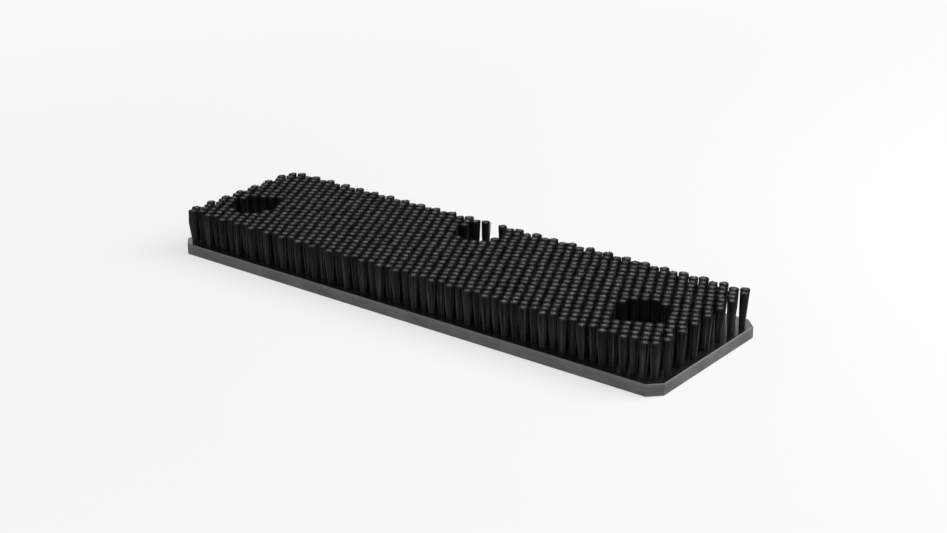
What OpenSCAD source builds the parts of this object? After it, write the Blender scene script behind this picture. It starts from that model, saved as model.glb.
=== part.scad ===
// Tufted brush plate: a plastic board drilled with a staggered field of blind holes,
// a bristle tuft folded over a wire anchor in every hole, and three cleared wells with screw holes.
// X runs along the board, Y across it, Z up; the origin is the centre of the underside. Millimetres.

/* [Board] */
// Length of the board
board_l = 399.5; // [300:0.5:480]
// Width of the board
board_w = 119; // [100:0.5:150]
// Thickness of the board
board_t = 8; // [7:0.1:14]
// Length cut off each side at the four corners
corner_cut = 8; // [4:0.5:12]
// Broken edge along the top and the underside
edge_break = 0.4; // [0.2:0.1:0.8]

/* [Tuft field] */
// Distance from the long edges to the first line of tufts
side_margin = 7.3; // [6:0.1:12]
// Least distance from the short edges to a tuft
end_margin = 5; // [4.5:0.1:10]
// Diameter of the blind holes for the tufts
hole_d = 4; // [3:0.1:4.2]
// Depth of the blind holes
hole_depth = 6; // [4:0.1:6.2]

/* [Tufts] */
// Free length of the bristles above the board
tuft_h = 23.2; // [12:0.1:40]
// Diameter of a tuft at its cut end
tip_d = 5.9; // [4.4:0.1:6]
// How far the rim of the cut end is rounded off
rim_drop = 0.6; // [0.2:0.1:1]
// Room between a tuft and its hole, all round
tuft_clearance = 0.05; // [0.02:0.01:0.1]

/* [Anchors] */
// Thickness of the flat wire anchor
anchor_t = 0.4; // [0.3:0.05:0.6]
// Height of the flat wire anchor
anchor_h = 1.8; // [1.2:0.1:2.2]
// Bristle left under the anchor
anchor_floor = 0.8; // [0.5:0.1:1.2]
// Room between an anchor and its tuft, all round
anchor_clearance = 0.02; // [0.01:0.01:0.05]

/* [Wells] */
// Distance between the two front wells
well_span = 325; // [240:1:340]
// Shift of the three wells along the board
well_shift = -2.5; // [-8:0.5:8]
// Position of the two front wells across the board
well_front_y = -15.5; // [-24:0.5:-8]
// Position of the rear well across the board
well_rear_y = 34.5; // [20:0.5:36]
// Radius kept clear of tuft centres
well_r = 17.7; // [14:0.1:20]
// Diameter of the screw holes
screw_d = 6.6; // [4.5:0.1:9]
// Diameter of the recess for the screw head
head_d = 12; // [10:0.5:16]
// Depth of the recess for the screw head
head_depth = 4; // [2:0.1:4.5]

/* [Hidden] */
$fn = 48;
ROWS = 37;
STRIDE = 5;
HALF = (ROWS - 1) / 2;
// Spacing of the tuft lines; a tuft sits 1 line up and 2 along from its neighbour
unit = (board_w - 2 * side_margin) / (ROWS - 1);
last_col = floor((board_l / 2 - end_margin) / unit);
spacing = unit * sqrt(5);
// Tufts stay this far apart at their tips, and their roots leave a web of board between the holes
tip_gap = 0.4;
hole_web = 2;
tip_r = min(tip_d, spacing - tip_gap) / 2;
root_r = min(hole_d, spacing - hole_web) / 2 - tuft_clearance;
hole_r = root_r + tuft_clearance;
floor_z = board_t - hole_depth;
seat_z = floor_z + tuft_clearance;
slot_z = seat_z + anchor_floor;
slot_h = anchor_h + 2 * anchor_clearance;
slot_w = anchor_t + 2 * anchor_clearance;
// The anchor spans its hole, corner to corner
anchor_play = 0.01;
anchor_l = 2 * sqrt(pow(hole_r, 2) - pow(anchor_t / 2, 2)) - anchor_play;
overlap = 0.5;
half_l = board_l / 2;
half_w = board_w / 2;
CORNERS = [
  [-half_l + corner_cut, -half_w],
  [half_l - corner_cut, -half_w],
  [half_l, -half_w + corner_cut],
  [half_l, half_w - corner_cut],
  [half_l - corner_cut, half_w],
  [-half_l + corner_cut, half_w],
  [-half_l, half_w - corner_cut],
  [-half_l, -half_w + corner_cut]
];
WELLS = [
  [well_shift - well_span / 2, well_front_y],
  [well_shift + well_span / 2, well_front_y],
  [well_shift, well_rear_y]
];

function cols(j) =
  [for (i = [-last_col : last_col]) if ((((i - 2 * j) % STRIDE) + STRIDE) % STRIDE == 0) i];
function in_well(x, y) =
  len([for (w = WELLS) if (norm([x - w[0], y - w[1]]) < well_r) 1]) > 0;
// Centres of the tufts on line j, counted from the middle of the board
function sites(j) =
  [for (i = cols(j)) if (!in_well(i * unit, j * unit)) [i * unit, j * unit]];

module outline() {
  polygon(CORNERS);
}

module tuft_holes_2d() {
  for (j = [-HALF : HALF])
    for (p = sites(j))
      translate(p) circle(r = hole_r);
}

// One broken edge from corner p to corner q at height z
module edge_cut(p, q, z) {
  run = q - p;
  side = edge_break * sqrt(2);
  translate([p[0], p[1], z])
    rotate([0, 0, atan2(run[1], run[0])])
      translate([norm(run) / 2, 0, 0])
        rotate([45, 0, 0])
          cube([norm(run) + 2 * edge_break, side, side], center = true);
}

module board() {
  color("dimgray")
    difference() {
      union() {
        linear_extrude(height = floor_z) outline();
        translate([0, 0, floor_z])
          linear_extrude(height = hole_depth)
            difference() {
              outline();
              tuft_holes_2d();
            }
      }
      for (k = [0 : 7], z = [0, board_t])
        edge_cut(CORNERS[k], CORNERS[(k + 1) % 8], z);
      for (w = WELLS) {
        translate([w[0], w[1], -overlap]) cylinder(d = screw_d, h = board_t + 2 * overlap);
        translate([w[0], w[1], board_t - head_depth]) cylinder(d = head_d, h = head_depth + overlap);
      }
    }
}

// Half section of a tuft: straight in its hole, flaring above the board, rounded off at the cut end
module tuft_profile() {
  tip_z = board_t + tuft_h;
  polygon([
    [0, seat_z],
    [root_r, seat_z],
    [root_r, board_t],
    [tip_r, tip_z - rim_drop],
    [tip_r - rim_drop, tip_z],
    [0, tip_z]
  ]);
}

module tuft(p) {
  translate(p) rotate_extrude() tuft_profile();
}

module tuft_line(j) {
  pts = sites(j);
  color("#1b1b1b")
    difference() {
      for (p = pts) tuft(p);
      translate([-board_l / 2, j * unit - slot_w / 2, slot_z]) cube([board_l, slot_w, slot_h]);
    }
}

module anchors() {
  color("silver")
    for (j = [-HALF : HALF])
      for (p = sites(j))
        translate([p[0] - anchor_l / 2, p[1] - anchor_t / 2, slot_z + anchor_clearance])
          cube([anchor_l, anchor_t, anchor_h]);
}

module tuft_line_01() tuft_line(0 - HALF);
module tuft_line_02() tuft_line(1 - HALF);
module tuft_line_03() tuft_line(2 - HALF);
module tuft_line_04() tuft_line(3 - HALF);
module tuft_line_05() tuft_line(4 - HALF);
module tuft_line_06() tuft_line(5 - HALF);
module tuft_line_07() tuft_line(6 - HALF);
module tuft_line_08() tuft_line(7 - HALF);
module tuft_line_09() tuft_line(8 - HALF);
module tuft_line_10() tuft_line(9 - HALF);
module tuft_line_11() tuft_line(10 - HALF);
module tuft_line_12() tuft_line(11 - HALF);
module tuft_line_13() tuft_line(12 - HALF);
module tuft_line_14() tuft_line(13 - HALF);
module tuft_line_15() tuft_line(14 - HALF);
module tuft_line_16() tuft_line(15 - HALF);
module tuft_line_17() tuft_line(16 - HALF);
module tuft_line_18() tuft_line(17 - HALF);
module tuft_line_19() tuft_line(18 - HALF);
module tuft_line_20() tuft_line(19 - HALF);
module tuft_line_21() tuft_line(20 - HALF);
module tuft_line_22() tuft_line(21 - HALF);
module tuft_line_23() tuft_line(22 - HALF);
module tuft_line_24() tuft_line(23 - HALF);
module tuft_line_25() tuft_line(24 - HALF);
module tuft_line_26() tuft_line(25 - HALF);
module tuft_line_27() tuft_line(26 - HALF);
module tuft_line_28() tuft_line(27 - HALF);
module tuft_line_29() tuft_line(28 - HALF);
module tuft_line_30() tuft_line(29 - HALF);
module tuft_line_31() tuft_line(30 - HALF);
module tuft_line_32() tuft_line(31 - HALF);
module tuft_line_33() tuft_line(32 - HALF);
module tuft_line_34() tuft_line(33 - HALF);
module tuft_line_35() tuft_line(34 - HALF);
module tuft_line_36() tuft_line(35 - HALF);
module tuft_line_37() tuft_line(36 - HALF);

board();
anchors();
tuft_line_01();
tuft_line_02();
tuft_line_03();
tuft_line_04();
tuft_line_05();
tuft_line_06();
tuft_line_07();
tuft_line_08();
tuft_line_09();
tuft_line_10();
tuft_line_11();
tuft_line_12();
tuft_line_13();
tuft_line_14();
tuft_line_15();
tuft_line_16();
tuft_line_17();
tuft_line_18();
tuft_line_19();
tuft_line_20();
tuft_line_21();
tuft_line_22();
tuft_line_23();
tuft_line_24();
tuft_line_25();
tuft_line_26();
tuft_line_27();
tuft_line_28();
tuft_line_29();
tuft_line_30();
tuft_line_31();
tuft_line_32();
tuft_line_33();
tuft_line_34();
tuft_line_35();
tuft_line_36();
tuft_line_37();
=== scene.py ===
"""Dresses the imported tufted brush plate: filament tufts, board finish, floor, light and camera."""

from math import cos, pi, radians, sin, sqrt

import bpy
import numpy as np
from mathutils import Matrix, Vector


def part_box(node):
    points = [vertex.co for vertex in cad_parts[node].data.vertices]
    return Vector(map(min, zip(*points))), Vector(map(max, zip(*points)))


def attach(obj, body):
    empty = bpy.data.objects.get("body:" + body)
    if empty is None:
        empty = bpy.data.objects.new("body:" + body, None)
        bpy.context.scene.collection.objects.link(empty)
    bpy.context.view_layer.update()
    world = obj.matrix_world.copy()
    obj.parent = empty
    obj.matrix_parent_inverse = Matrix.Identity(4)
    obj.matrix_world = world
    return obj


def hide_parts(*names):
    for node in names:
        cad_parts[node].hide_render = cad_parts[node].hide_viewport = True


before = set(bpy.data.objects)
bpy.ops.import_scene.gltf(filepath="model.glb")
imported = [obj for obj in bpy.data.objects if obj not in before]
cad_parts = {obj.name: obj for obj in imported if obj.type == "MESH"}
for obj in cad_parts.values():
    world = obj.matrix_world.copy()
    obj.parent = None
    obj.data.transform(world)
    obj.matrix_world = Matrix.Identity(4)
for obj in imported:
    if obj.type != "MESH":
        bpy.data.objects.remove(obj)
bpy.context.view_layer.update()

MM = 0.001
BODY = "root"
rng = np.random.default_rng(2024)

# ---------------------------------------------------------------- frame facts
LINES = sorted(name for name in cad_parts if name.startswith("tuft_line_"))
board_low, board_high = (Vector(corner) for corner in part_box("board"))
BOARD_TOP = board_high.z
BOARD_HALF_X = (board_high.x - board_low.x) / 2
BOARD_HALF_Y = (board_high.y - board_low.y) / 2
TIP_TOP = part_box(LINES[0])[1][2]
FREE_LENGTH = TIP_TOP - BOARD_TOP


def toward(azimuth, elevation):
    """Unit vector at degrees of azimuth, from the front (-Y) towards +X, and of elevation."""
    az, el = radians(azimuth), radians(elevation)
    return Vector((sin(az) * cos(el), -cos(az) * cos(el), sin(el)))


# ---------------------------------------------------------------- camera, fitted to the photo
LENS_MM = 64.21
SENSOR_MM = 36.0
AIM = Vector((8.1, 13.8, 14.6)) * MM
CAMERA_DISTANCE = 1.1308
CAMERA_AZIMUTH = 38.375
CAMERA_ELEVATION = 21.568
CAMERA_ROLL = radians(-0.599)
CLIP_NEAR, CLIP_FAR = 0.05, 50.0


def make_camera():
    outward = toward(CAMERA_AZIMUTH, CAMERA_ELEVATION)
    level_right = Vector((cos(radians(CAMERA_AZIMUTH)), sin(radians(CAMERA_AZIMUTH)), 0.0))
    level_up = outward.cross(level_right)
    right = level_right * cos(CAMERA_ROLL) + level_up * sin(CAMERA_ROLL)
    up = level_up * cos(CAMERA_ROLL) - level_right * sin(CAMERA_ROLL)
    data = bpy.data.cameras.new("camera")
    data.lens = LENS_MM
    data.sensor_width = SENSOR_MM
    data.sensor_fit = "HORIZONTAL"
    data.clip_start = CLIP_NEAR
    data.clip_end = CLIP_FAR
    camera = bpy.data.objects.new("camera", data)
    turn = Matrix((right, up, outward)).transposed().to_4x4()
    camera.matrix_world = Matrix.Translation(AIM + outward * CAMERA_DISTANCE) @ turn
    bpy.context.scene.collection.objects.link(camera)
    bpy.context.scene.camera = camera


# ---------------------------------------------------------------- node helpers
NOISE_LOW, NOISE_HIGH = 0.3, 0.7  # where most values of a noise texture lie


class Graph:
    """The node tree of a material or a world, with short calls to add and join nodes."""

    def __init__(self, owner, output_kind="ShaderNodeOutputMaterial"):
        owner.use_nodes = True
        self.owner = owner
        self.nodes = owner.node_tree.nodes
        self.links = owner.node_tree.links
        self.nodes.clear()
        self.output = self.nodes.new(output_kind)

    def fill(self, socket, value):
        if isinstance(value, bpy.types.NodeSocket):
            self.links.new(value, socket)
        else:
            socket.default_value = value

    def add(self, kind, inputs=None, **settings):
        node = self.nodes.new(kind)
        for key, value in settings.items():
            setattr(node, key, value)
        for key, value in (inputs or {}).items():
            self.fill(node.inputs[key], value)
        return node

    def math(self, operation, a, b=0.0):
        return self.add("ShaderNodeMath", {0: a, 1: b}, operation=operation).outputs[0]

    def mix(self, factor, a, b):
        """A colour between a and b."""
        return self.add("ShaderNodeMix", {0: factor, 6: a, 7: b}, data_type="RGBA").outputs[2]

    def mix_values(self, factor, a, b):
        """A number between a and b."""
        return self.add("ShaderNodeMix", {0: factor, 2: a, 3: b}, data_type="FLOAT").outputs[0]

    def noise(self, vector, scale, detail=3.0, roughness=0.55):
        return self.add(
            "ShaderNodeTexNoise",
            {"Vector": vector, "Scale": scale, "Detail": detail, "Roughness": roughness},
        ).outputs["Fac"]

    def span(self, value, low, high, to_low=0.0, to_high=1.0):
        """Maps low..high onto to_low..to_high, and clamps there."""
        return self.add(
            "ShaderNodeMapRange",
            {0: value, 1: low, 2: high, 3: to_low, 4: to_high},
        ).outputs[0]

    def spread(self, noise, to_low=0.0, to_high=1.0):
        """Maps the usual range of a noise onto to_low..to_high."""
        return self.span(noise, NOISE_LOW, NOISE_HIGH, to_low, to_high)

    def place(self):
        return self.add("ShaderNodeTexCoord").outputs["Object"]

    def stretched(self, place, scale):
        return self.add("ShaderNodeMapping", {"Vector": place, "Scale": scale}).outputs[0]

    def filament_shade(self):
        """The tone that the bristle meshes carry in their shade attribute: each filament's own tone, with
        painted shade and a painted highlight on it.
        """
        node = self.add("ShaderNodeAttribute", attribute_name="shade", attribute_type="GEOMETRY")
        return node.outputs["Fac"]

    def finish(self, shader):
        self.links.new(shader.outputs[0], self.output.inputs["Surface"])
        return self.owner

    def finish_principled(self, inputs):
        return self.finish(self.add("ShaderNodeBsdfPrincipled", inputs))


def grey(level, warmth=0.0):
    """A linear colour near neutral grey, a little warm when warmth is positive."""
    return (level * (1 + warmth), level, level * (1 - warmth), 1.0)


# ---------------------------------------------------------------- materials
NYLON_IOR = 1.53
NYLON_GLOSS = 0.2  # a tuft hides most of the white surround from its own filaments
TIP_CELLS = 2800.0  # filament ends per metre across a tuft
WARM_CUT = 0.09


def bristle_side_material():
    """Black nylon filaments: each has its own tone, with painted shade from the shade attribute, broken up
    along its length.
    """
    g = Graph(bpy.data.materials.new("bristle_side"))
    along = g.noise(g.stretched(g.place(), (900.0, 900.0, 90.0)), 1.0, 2.0)
    tone = g.math("MULTIPLY", g.filament_shade(), g.spread(along, 0.7, 1.3))
    return g.finish_principled(
        {
            "Base Color": g.mix(tone, grey(0.002), grey(0.052, 0.02)),
            "Roughness": g.spread(along, 0.42, 0.6),
            "IOR": NYLON_IOR,
            "Specular IOR Level": NYLON_GLOSS,
        }
    )


def bristle_tip_material():
    """Cut ends: pale grey dots of filament, partly their own lighter grey and partly a painted highlight,
    with painted shade in the dark between them.
    """
    g = Graph(bpy.data.materials.new("bristle_tip"))
    place = g.place()
    flat = g.stretched(place, (1.0, 1.0, 0.0))
    cells = g.add("ShaderNodeTexVoronoi", {"Vector": flat, "Scale": TIP_CELLS}, feature="F1")
    # painted shade: dark between the filament ends
    dots = g.span(cells.outputs["Distance"], 0.35, 0.62, 1.0, 0.15)
    speckle = g.spread(g.noise(place, 900.0, 2.0), 0.6, 1.4)
    tone = g.math("MULTIPLY", g.math("MULTIPLY", g.filament_shade(), dots), speckle)
    return g.finish_principled(
        {
            "Base Color": g.mix(tone, grey(0.003), grey(0.40, 0.01)),
            "Roughness": 0.6,
            "IOR": 1.5,
            "Specular IOR Level": NYLON_GLOSS,
        }
    )


def board_material():
    """Smooth near-black sheet faces, and sawn grey edges with streaks along the cut."""
    g = Graph(bpy.data.materials.new("board_plastic"))
    place = g.place()
    normal = g.add("ShaderNodeNewGeometry").outputs["Normal"]
    up = g.math("ABSOLUTE", g.add("ShaderNodeSeparateXYZ", {0: normal}).outputs[2])
    sheet_face = g.span(up, 0.8, 0.95)
    height = g.span(g.add("ShaderNodeSeparateXYZ", {0: place}).outputs[2], 0.0, BOARD_TOP)

    streaks = g.noise(g.stretched(place, (45.0, 45.0, 1100.0)), 1.0, 4.0, 0.6)
    blotches = g.noise(place, 60.0, 3.0)
    grain = g.noise(place, 1500.0, 2.0)
    mottle = g.math("ADD", g.math("MULTIPLY", streaks, 0.5), g.math("MULTIPLY", blotches, 0.5))
    sawn = g.mix(g.span(mottle, 0.42, 0.58), grey(0.036, WARM_CUT), grey(0.086, WARM_CUT))
    upper_rim = g.mix(g.spread(streaks), grey(0.085), grey(0.11))
    edge_colour = g.mix(g.span(height, 0.72, 1.0), sawn, upper_rim)
    face_colour = g.mix(g.spread(blotches), grey(0.006), grey(0.012))
    edge_rough = g.spread(streaks, 0.5, 0.7)
    face_rough = g.spread(grain, 0.2, 0.28)
    relief = g.math("MULTIPLY", g.math("SUBTRACT", 1.0, sheet_face), g.math("ADD", streaks, grain))
    bump = g.add("ShaderNodeBump", {"Height": relief, "Strength": 0.35, "Distance": 0.2 * MM})
    return g.finish_principled(
        {
            "Base Color": g.mix(sheet_face, edge_colour, face_colour),
            "Roughness": g.mix_values(sheet_face, edge_rough, face_rough),
            "IOR": 1.7,
            "Normal": bump.outputs[0],
        }
    )


def anchor_material():
    """Bright drawn wire."""
    g = Graph(bpy.data.materials.new("anchor_steel"))
    lines = g.noise(g.stretched(g.place(), (200.0, 4000.0, 4000.0)), 1.0, 2.0)
    return g.finish_principled(
        {
            "Base Color": g.mix(lines, grey(0.38), grey(0.55)),
            "Metallic": 1.0,
            "Roughness": g.spread(lines, 0.25, 0.45),
        }
    )


FLOOR_LEVEL = 0.84
FLOOR_CLOUD = 0.01  # how much the floor's tone drifts either way
SEEN_FLOOR_LEVEL = 0.98
SEEN_SHARE_NEAR = 0.68
SEEN_SHARE_FAR = 0.95
NEAR_REACH = 0.25
FAR_REACH = 0.9


def seen_ray(g):
    """1 for rays that show the floor or sky directly, in a gloss or through glass, 0 for rays of light."""
    path = g.add("ShaderNodeLightPath").outputs
    gloss = g.math("MAXIMUM", path["Is Glossy Ray"], path["Is Transmission Ray"])
    return g.math("MAXIMUM", path["Is Camera Ray"], gloss)


def floor_material():
    """A white floor that keeps the part's shadow near it and goes over into the white surround."""
    g = Graph(bpy.data.materials.new("floor_pale"))
    place = g.place()
    cloud = g.noise(place, 2.0, 2.0)
    tone = g.mix(cloud, grey(FLOOR_LEVEL - FLOOR_CLOUD), grey(FLOOR_LEVEL + FLOOR_CLOUD))
    lit = g.add("ShaderNodeBsdfDiffuse", {"Color": tone})
    glow = g.add("ShaderNodeEmission", {"Color": grey(SEEN_FLOOR_LEVEL), "Strength": 1.0})
    reach = g.add("ShaderNodeVectorMath", {0: place}, operation="LENGTH").outputs["Value"]
    share = g.span(reach, NEAR_REACH, FAR_REACH, SEEN_SHARE_NEAR, SEEN_SHARE_FAR)
    share = g.math("MULTIPLY", seen_ray(g), share)
    return g.finish(g.add("ShaderNodeMixShader", {0: share, 1: lit.outputs[0], 2: glow.outputs[0]}))


# ---------------------------------------------------------------- tufts
SIDE, TIP = 0, 1  # material slots of a line of bristles

TUFT_GAP = 3.0 * MM  # tufts of one line are further apart than this along X
TIP_RISE = 0.25 * MM  # the longest filaments stand this far above the solid tuft
TOP_SPREAD = 0.12 * MM
ROOT_SHARE = 0.9  # width at the board against the solid tuft's
TIP_SHARE = (1.02, 1.12)  # width at the top against the solid tuft's
FLARE = (0.5, 0.8)  # power of the rise from root width to tip width: below 1 widens early
TUFT_TONE = (0.8, 1.2)

END_ZONE = (0.93, 0.04)  # share of the half length where the splay starts, and the share it grows over
SIDE_ZONE = (0.82, 0.06)  # the same for the half width
END_SPLAY = 0.7 * MM
SIDE_SPLAY = 0.5 * MM
SPLAY_SHARE = (0.3, 1.0)
LEFT_BELLY = 1.9 * MM  # the tufts at the -X end bulge outwards instead
BELLY_SHARE = (0.5, 1.1)
LEAN_SPREAD = 0.22 * MM
LEAN_POWER = 1.4

FILAMENT_SIDES = 3
FILAMENT_RADIUS = 0.24 * MM
DRIFT_POWER = 1.6
SINK = 1.0 * MM  # how far filaments run down into their hole

RIM_FILAMENTS = 40
RIM_OUT = 0.84
CLUMP_OUT = 0.16  # filaments on a clump stand this much further out
RIM_DROP = 0.6 * MM
RIM_DRIFT = 0.17 * MM
RIM_SPACING_ERROR = 0.4
MIDDLE_SHARE = (0.45, 0.6)
MIDDLE_TWIST = 0.06
STRAY_CHANCE = 0.05
STRAY_DRIFT = 3.0
RIM_RADII = np.array([[1.0], [1.0], [0.9]])  # at root, middle and top
# painted shade: rim filaments a little darker at the root and far darker at the top, where tufts shade
# each other's upper sides and rim ends
RIM_TONES_WITH_PAINTED_SHADE = np.array([[0.95], [1.15], [0.1]])
# painted shade: filaments in the valleys between clumps sit further in and are toned down, those on a
# clump less so
VALLEY_SHADED_TONE, CLUMP_TONE = 0.15, 0.85

HEART_FILAMENTS = 36
HEART_OUT = 0.86
HEART_DRIFT = 0.14 * MM
HEART_SPREAD = 0.15 * MM
HEART_DROP_SHARE = 0.5
STUB_LENGTH = 5.0 * MM  # heart filaments start here below the top, since none shows further down
GOLDEN_ANGLE = pi * (3 - sqrt(5))
PAINTED_TIP_LIGHT_SHARE = (0.4, 0.75)  # cut ends are pale inside the first share of the radius, partly their own paler colour and partly a painted highlight, and dark past the second with painted shade round the rim

CORE_SIDES = 10
CORE_SHARE = 0.8
CORE_HEIGHTS = (0.3, 0.65)
# painted shade: the inside of the tuft is toned down, standing for the shade within the bundle
CORE_SHADE_TONE = 0.1
DOME = ((0.86, 1.5), (0.62, 0.75), (0.3, 0.45))  # share of the radius, and mm below the tuft's top


def tufts_of(line):
    """Centre x, centre y, root radius and tip radius of every tuft in a CAD line of tufts."""
    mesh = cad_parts[line].data
    points = np.empty(len(mesh.vertices) * 3)
    mesh.vertices.foreach_get("co", points)
    points = points.reshape(-1, 3)
    points = points[np.argsort(points[:, 0])]
    cuts = np.nonzero(np.diff(points[:, 0]) > TUFT_GAP)[0] + 1
    found = []
    for group in np.split(points, cuts):
        root = group[group[:, 2] < BOARD_TOP]
        low, high = group.min(axis=0), group.max(axis=0)
        centre = (low + high) / 2
        found.append((centre[0], centre[1], np.ptp(root[:, 0]) / 2, (high[0] - low[0]) / 2))
    return found


def rods(rings, radii, sides, turn):
    """Closed rods through rings of centres, shape (rings, rods, 3). Returns points, quads and end caps."""
    count = rings.shape[1]
    angle = turn[:, None] + np.arange(sides) * 2 * pi / sides
    spoke = np.stack([np.cos(angle), np.sin(angle), np.zeros_like(angle)], axis=-1)
    points = rings[:, :, None, :] + spoke[None] * radii[:, :, None, None]
    index = np.arange(points.size // 3).reshape(len(rings), count, sides)
    after = np.roll(index, -1, axis=2)
    quads = np.stack([index[:-1], after[:-1], after[1:], index[1:]], axis=-1).reshape(-1, 4)
    return points.reshape(-1, 3), quads, index[-1], index[0][:, ::-1]


class Bundle:
    """Gathers the points and faces of one piece."""

    def __init__(self):
        self.points, self.faces, self.slots, self.shades = [], [], [], []
        self.total = 0

    def put(self, points, shades, *face_sets):
        for faces, slot in face_sets:
            self.faces.append(faces + self.total)
            self.slots.append(np.full(len(faces), slot))
        self.points.append(points)
        self.shades.append(shades)
        self.total += len(points)

    def mesh(self, name):
        mesh = bpy.data.meshes.new(name)
        faces = [row.tolist() for block in self.faces for row in block]
        mesh.from_pydata(np.concatenate(self.points).tolist(), [], faces)
        mesh.polygons.foreach_set("material_index", np.concatenate(self.slots).astype(np.int32))
        shade = mesh.attributes.new("shade", "FLOAT", "POINT")
        shade.data.foreach_set("value", np.concatenate(self.shades).astype(np.float32))
        return mesh


def near_edge(offset, half, start, growth):
    """0 in the middle of the field, 1 at the edge of the board."""
    return np.clip((abs(offset) / half - start) / growth, 0, 1)


def tip_tone_with_painted_light(out):
    """How pale a cut end is: pale in the middle of the tuft, partly its own paler colour and partly a
    painted highlight, and dark round its rim, which is painted shade.
    """
    return np.clip((PAINTED_TIP_LIGHT_SHARE[1] - out) / (PAINTED_TIP_LIGHT_SHARE[1] - PAINTED_TIP_LIGHT_SHARE[0]), 0.0, 1.0)


class Tuft:
    """One tuft's place, bend, flare and tone."""

    def __init__(self, x, y, root_r, tip_r):
        end = near_edge(x, BOARD_HALF_X, *END_ZONE)
        side = near_edge(y, BOARD_HALF_Y, *SIDE_ZONE)
        left = end if x < 0 else 0.0
        splay = np.array([np.sign(x) * end * END_SPLAY, np.sign(y) * side * SIDE_SPLAY])
        outwards = splay * (1 - left) * rng.uniform(*SPLAY_SHARE)
        self.base = np.array([x, y, BOARD_TOP])
        self.lean = np.array([*(outwards + rng.normal(0, LEAN_SPREAD, 2)), 0.0])
        self.belly = np.array([-left * LEFT_BELLY * rng.uniform(*BELLY_SHARE), 0.0, 0.0])
        self.root_r = root_r * ROOT_SHARE
        self.tip_r = tip_r * rng.uniform(*TIP_SHARE)
        self.flare = rng.uniform(*FLARE)
        self.top = FREE_LENGTH + TIP_RISE - abs(rng.normal(0, TOP_SPREAD))
        self.tone = rng.uniform(*TUFT_TONE)
        self.phase = rng.uniform(0, 2 * pi, 3)

    def radius(self, height):
        t = np.clip(height / FREE_LENGTH, 0, 1)
        return self.root_r + (self.tip_r - self.root_r) * t**self.flare

    def clumps(self, spin):
        """Filaments gather in a few clumps round the tuft: 1 on a clump, 0 between two."""
        wave = sum(np.sin(count * spin + phase) for count, phase in zip((3, 5, 8), self.phase))
        return np.clip(0.5 + wave / 4, 0, 1)

    def at(self, height, out, spin, drift):
        """Points at a height above the board, out (0 to 1) from the tuft's axis in direction spin."""
        t = np.clip(height / FREE_LENGTH, 0, 1)
        reach = out * self.radius(height)
        place = np.zeros((len(out), 3))
        place[:, 0] = np.cos(spin) * reach
        place[:, 1] = np.sin(spin) * reach
        place[:, :2] += drift * (t**DRIFT_POWER)[:, None]
        place[:, 2] = height
        bend = self.lean * (t**LEAN_POWER)[:, None] + self.belly * np.sin(pi * t)[:, None]
        return self.base + place + bend


def rim_filaments(tuft, bundle):
    """Filaments that make the tuft's side run its whole length."""
    n = RIM_FILAMENTS
    spin = (np.arange(n) + rng.uniform(-RIM_SPACING_ERROR, RIM_SPACING_ERROR, n)) * 2 * pi / n
    clump = tuft.clumps(spin)
    out = RIM_OUT + CLUMP_OUT * clump * rng.uniform(0.5, 1.0, n)
    drift = rng.normal(0, RIM_DRIFT, (n, 2))
    drift[rng.random(n) < STRAY_CHANCE] *= STRAY_DRIFT
    tops = tuft.top - RIM_DROP * rng.uniform(0.3, 1.2, n)
    middle = FREE_LENGTH * rng.uniform(*MIDDLE_SHARE, n)
    rings = np.stack(
        [
            tuft.at(np.full(n, -SINK), out, spin, drift),
            tuft.at(middle, out, spin + rng.normal(0, MIDDLE_TWIST, n), drift),
            tuft.at(tops, out, spin, drift),
        ]
    )
    radii = RIM_RADII * FILAMENT_RADIUS * rng.uniform(0.85, 1.15, n)
    points, quads, caps, feet = rods(rings, radii, FILAMENT_SIDES, rng.uniform(0, 2 * pi, n))
    # painted shade by height and in the valleys between clumps, on each filament's own random tone
    tone = RIM_TONES_WITH_PAINTED_SHADE * ((VALLEY_SHADED_TONE + CLUMP_TONE * clump) * rng.uniform(0.3, 1.0, n) * tuft.tone)
    shades = np.repeat(tone.ravel(), FILAMENT_SIDES)
    bundle.put(points, shades, (quads, SIDE), (caps, TIP), (feet, SIDE))


def heart_filaments(tuft, bundle):
    """Filaments inside the tuft show only at their cut ends."""
    n = HEART_FILAMENTS
    order = np.arange(n) + 0.5
    spin = order * GOLDEN_ANGLE + rng.uniform(0, 2 * pi)
    out = np.sqrt(order / n) * HEART_OUT
    drift = rng.normal(0, HEART_DRIFT, (n, 2))
    tops = tuft.top - RIM_DROP * HEART_DROP_SHARE * out**2 - np.abs(rng.normal(0, HEART_SPREAD, n))
    rings = np.stack(
        [
            tuft.at(np.full(n, FREE_LENGTH - STUB_LENGTH), out, spin, drift),
            tuft.at(tops, out, spin, drift),
        ]
    )
    radii = np.full((2, n), FILAMENT_RADIUS) * rng.uniform(0.9, 1.2, n)
    points, quads, caps, feet = rods(rings, radii, FILAMENT_SIDES, rng.uniform(0, 2 * pi, n))
    # pale in the middle with a painted highlight, painted shade towards the rim, on each filament's own
    # random tone
    tone = tip_tone_with_painted_light(out) * rng.uniform(0.5, 1.3, n) * tuft.tone
    shades = np.tile(np.repeat(tone, FILAMENT_SIDES), 2)
    bundle.put(points, shades, (quads, SIDE), (caps, TIP), (feet, SIDE))


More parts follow.
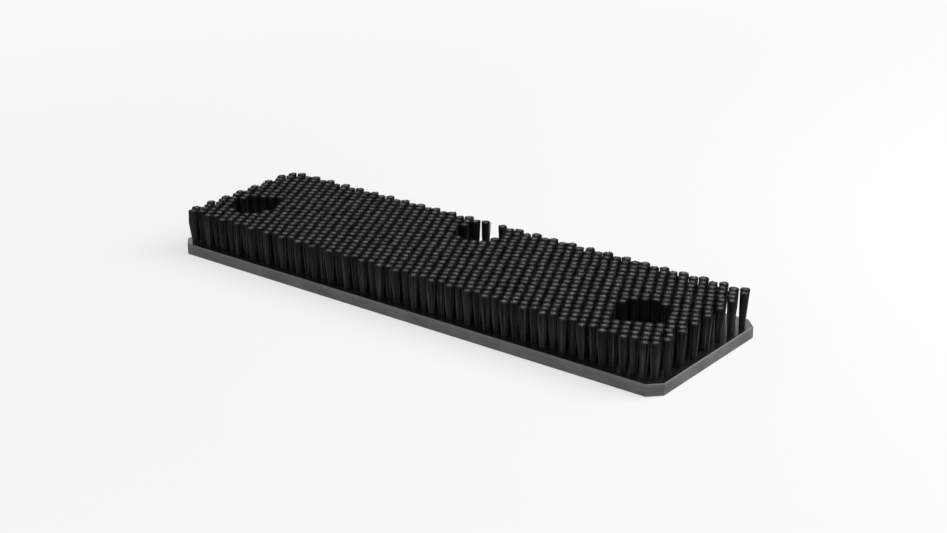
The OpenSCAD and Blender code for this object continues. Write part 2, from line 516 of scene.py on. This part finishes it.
def core(tuft, bundle):
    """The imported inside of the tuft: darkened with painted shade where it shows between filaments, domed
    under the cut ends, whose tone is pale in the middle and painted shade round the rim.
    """
    heights = [-SINK] + [FREE_LENGTH * share for share in CORE_HEIGHTS]
    shares = [CORE_SHARE] * len(heights)
    tones = [CORE_SHADE_TONE] * len(heights)
    for share, drop in DOME:
        heights.append(tuft.top - drop * MM)
        shares.append(share)
        tones.append(tip_tone_with_painted_light(share))
    zero, still = np.zeros(1), np.zeros((1, 2))
    rings = np.stack([tuft.at(np.full(1, height), zero, zero, still) for height in heights])
    radii = np.array([[tuft.radius(height) * share] for height, share in zip(heights, shares)])
    points, quads, caps, feet = rods(rings, radii, CORE_SIDES, zero)
    walls = (len(heights) - len(DOME)) * CORE_SIDES
    bundle.put(
        points,
        np.repeat(np.array(tones) * tuft.tone, CORE_SIDES),
        (quads[:walls], SIDE),
        (quads[walls:], TIP),
        (caps, TIP),
        (feet, SIDE),
    )


def make_bristles():
    side, tip = bristle_side_material(), bristle_tip_material()
    for line in LINES:
        bundle = Bundle()
        for place in tufts_of(line):
            tuft = Tuft(*place)
            rim_filaments(tuft, bundle)
            heart_filaments(tuft, bundle)
            core(tuft, bundle)
        name = line.replace("tuft_line", "bristles")
        piece = bpy.data.objects.new(name, bundle.mesh(name))
        piece.data.materials.append(side)
        piece.data.materials.append(tip)
        bpy.context.scene.collection.objects.link(piece)
        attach(piece, BODY)
        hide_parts(line)


def dress_cad(node, material):
    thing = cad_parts[node]
    thing.data.materials.clear()
    thing.data.materials.append(material)


# ---------------------------------------------------------------- stage and light
FLOOR_HALF = 6.0
FLOOR_DROP = 0.2 * MM
LAMP_SIZE = 1.2
LAMPS = (  # name, azimuth, elevation, distance, watts
    ("key_back", 130, 46, 1.6, 25),
    ("fill_front", 12, 24, 1.8, 4.5),
)
WORLD_FILL = 0.36


def make_floor():
    mesh = bpy.data.meshes.new("floor")
    h = FLOOR_HALF
    mesh.from_pydata([(-h, -h, 0), (h, -h, 0), (h, h, 0), (-h, h, 0)], [], [(0, 1, 2, 3)])
    mesh.materials.append(floor_material())
    floor = bpy.data.objects.new("floor", mesh)
    floor.location.z = -FLOOR_DROP
    bpy.context.scene.collection.objects.link(floor)


def make_lamp(name, azimuth, elevation, distance, watts):
    """A square softbox that faces the middle of the part."""
    outward = toward(azimuth, elevation)
    data = bpy.data.lights.new(name, "AREA")
    data.shape = "SQUARE"
    data.size = LAMP_SIZE
    data.energy = watts
    lamp = bpy.data.objects.new(name, data)
    lamp.location = outward * distance
    lamp.rotation_euler = outward.to_track_quat("Z", "Y").to_euler()
    bpy.context.scene.collection.objects.link(lamp)


def make_world():
    """A soft fill from all sides, seen as the same white as the far floor."""
    world = bpy.data.worlds.new("studio")
    bpy.context.scene.world = world
    g = Graph(world, "ShaderNodeOutputWorld")
    fill = g.add("ShaderNodeBackground", {"Color": grey(1.0), "Strength": WORLD_FILL})
    white = g.add("ShaderNodeBackground", {"Color": grey(SEEN_FLOOR_LEVEL), "Strength": 1.0})
    g.finish(g.add("ShaderNodeMixShader", {0: seen_ray(g), 1: fill.outputs[0], 2: white.outputs[0]}))


make_camera()
dress_cad("board", board_material())
dress_cad("anchors", anchor_material())
make_bristles()
make_floor()
for lamp in LAMPS:
    make_lamp(*lamp)
make_world()
bpy.context.scene.view_settings.view_transform = "Standard"
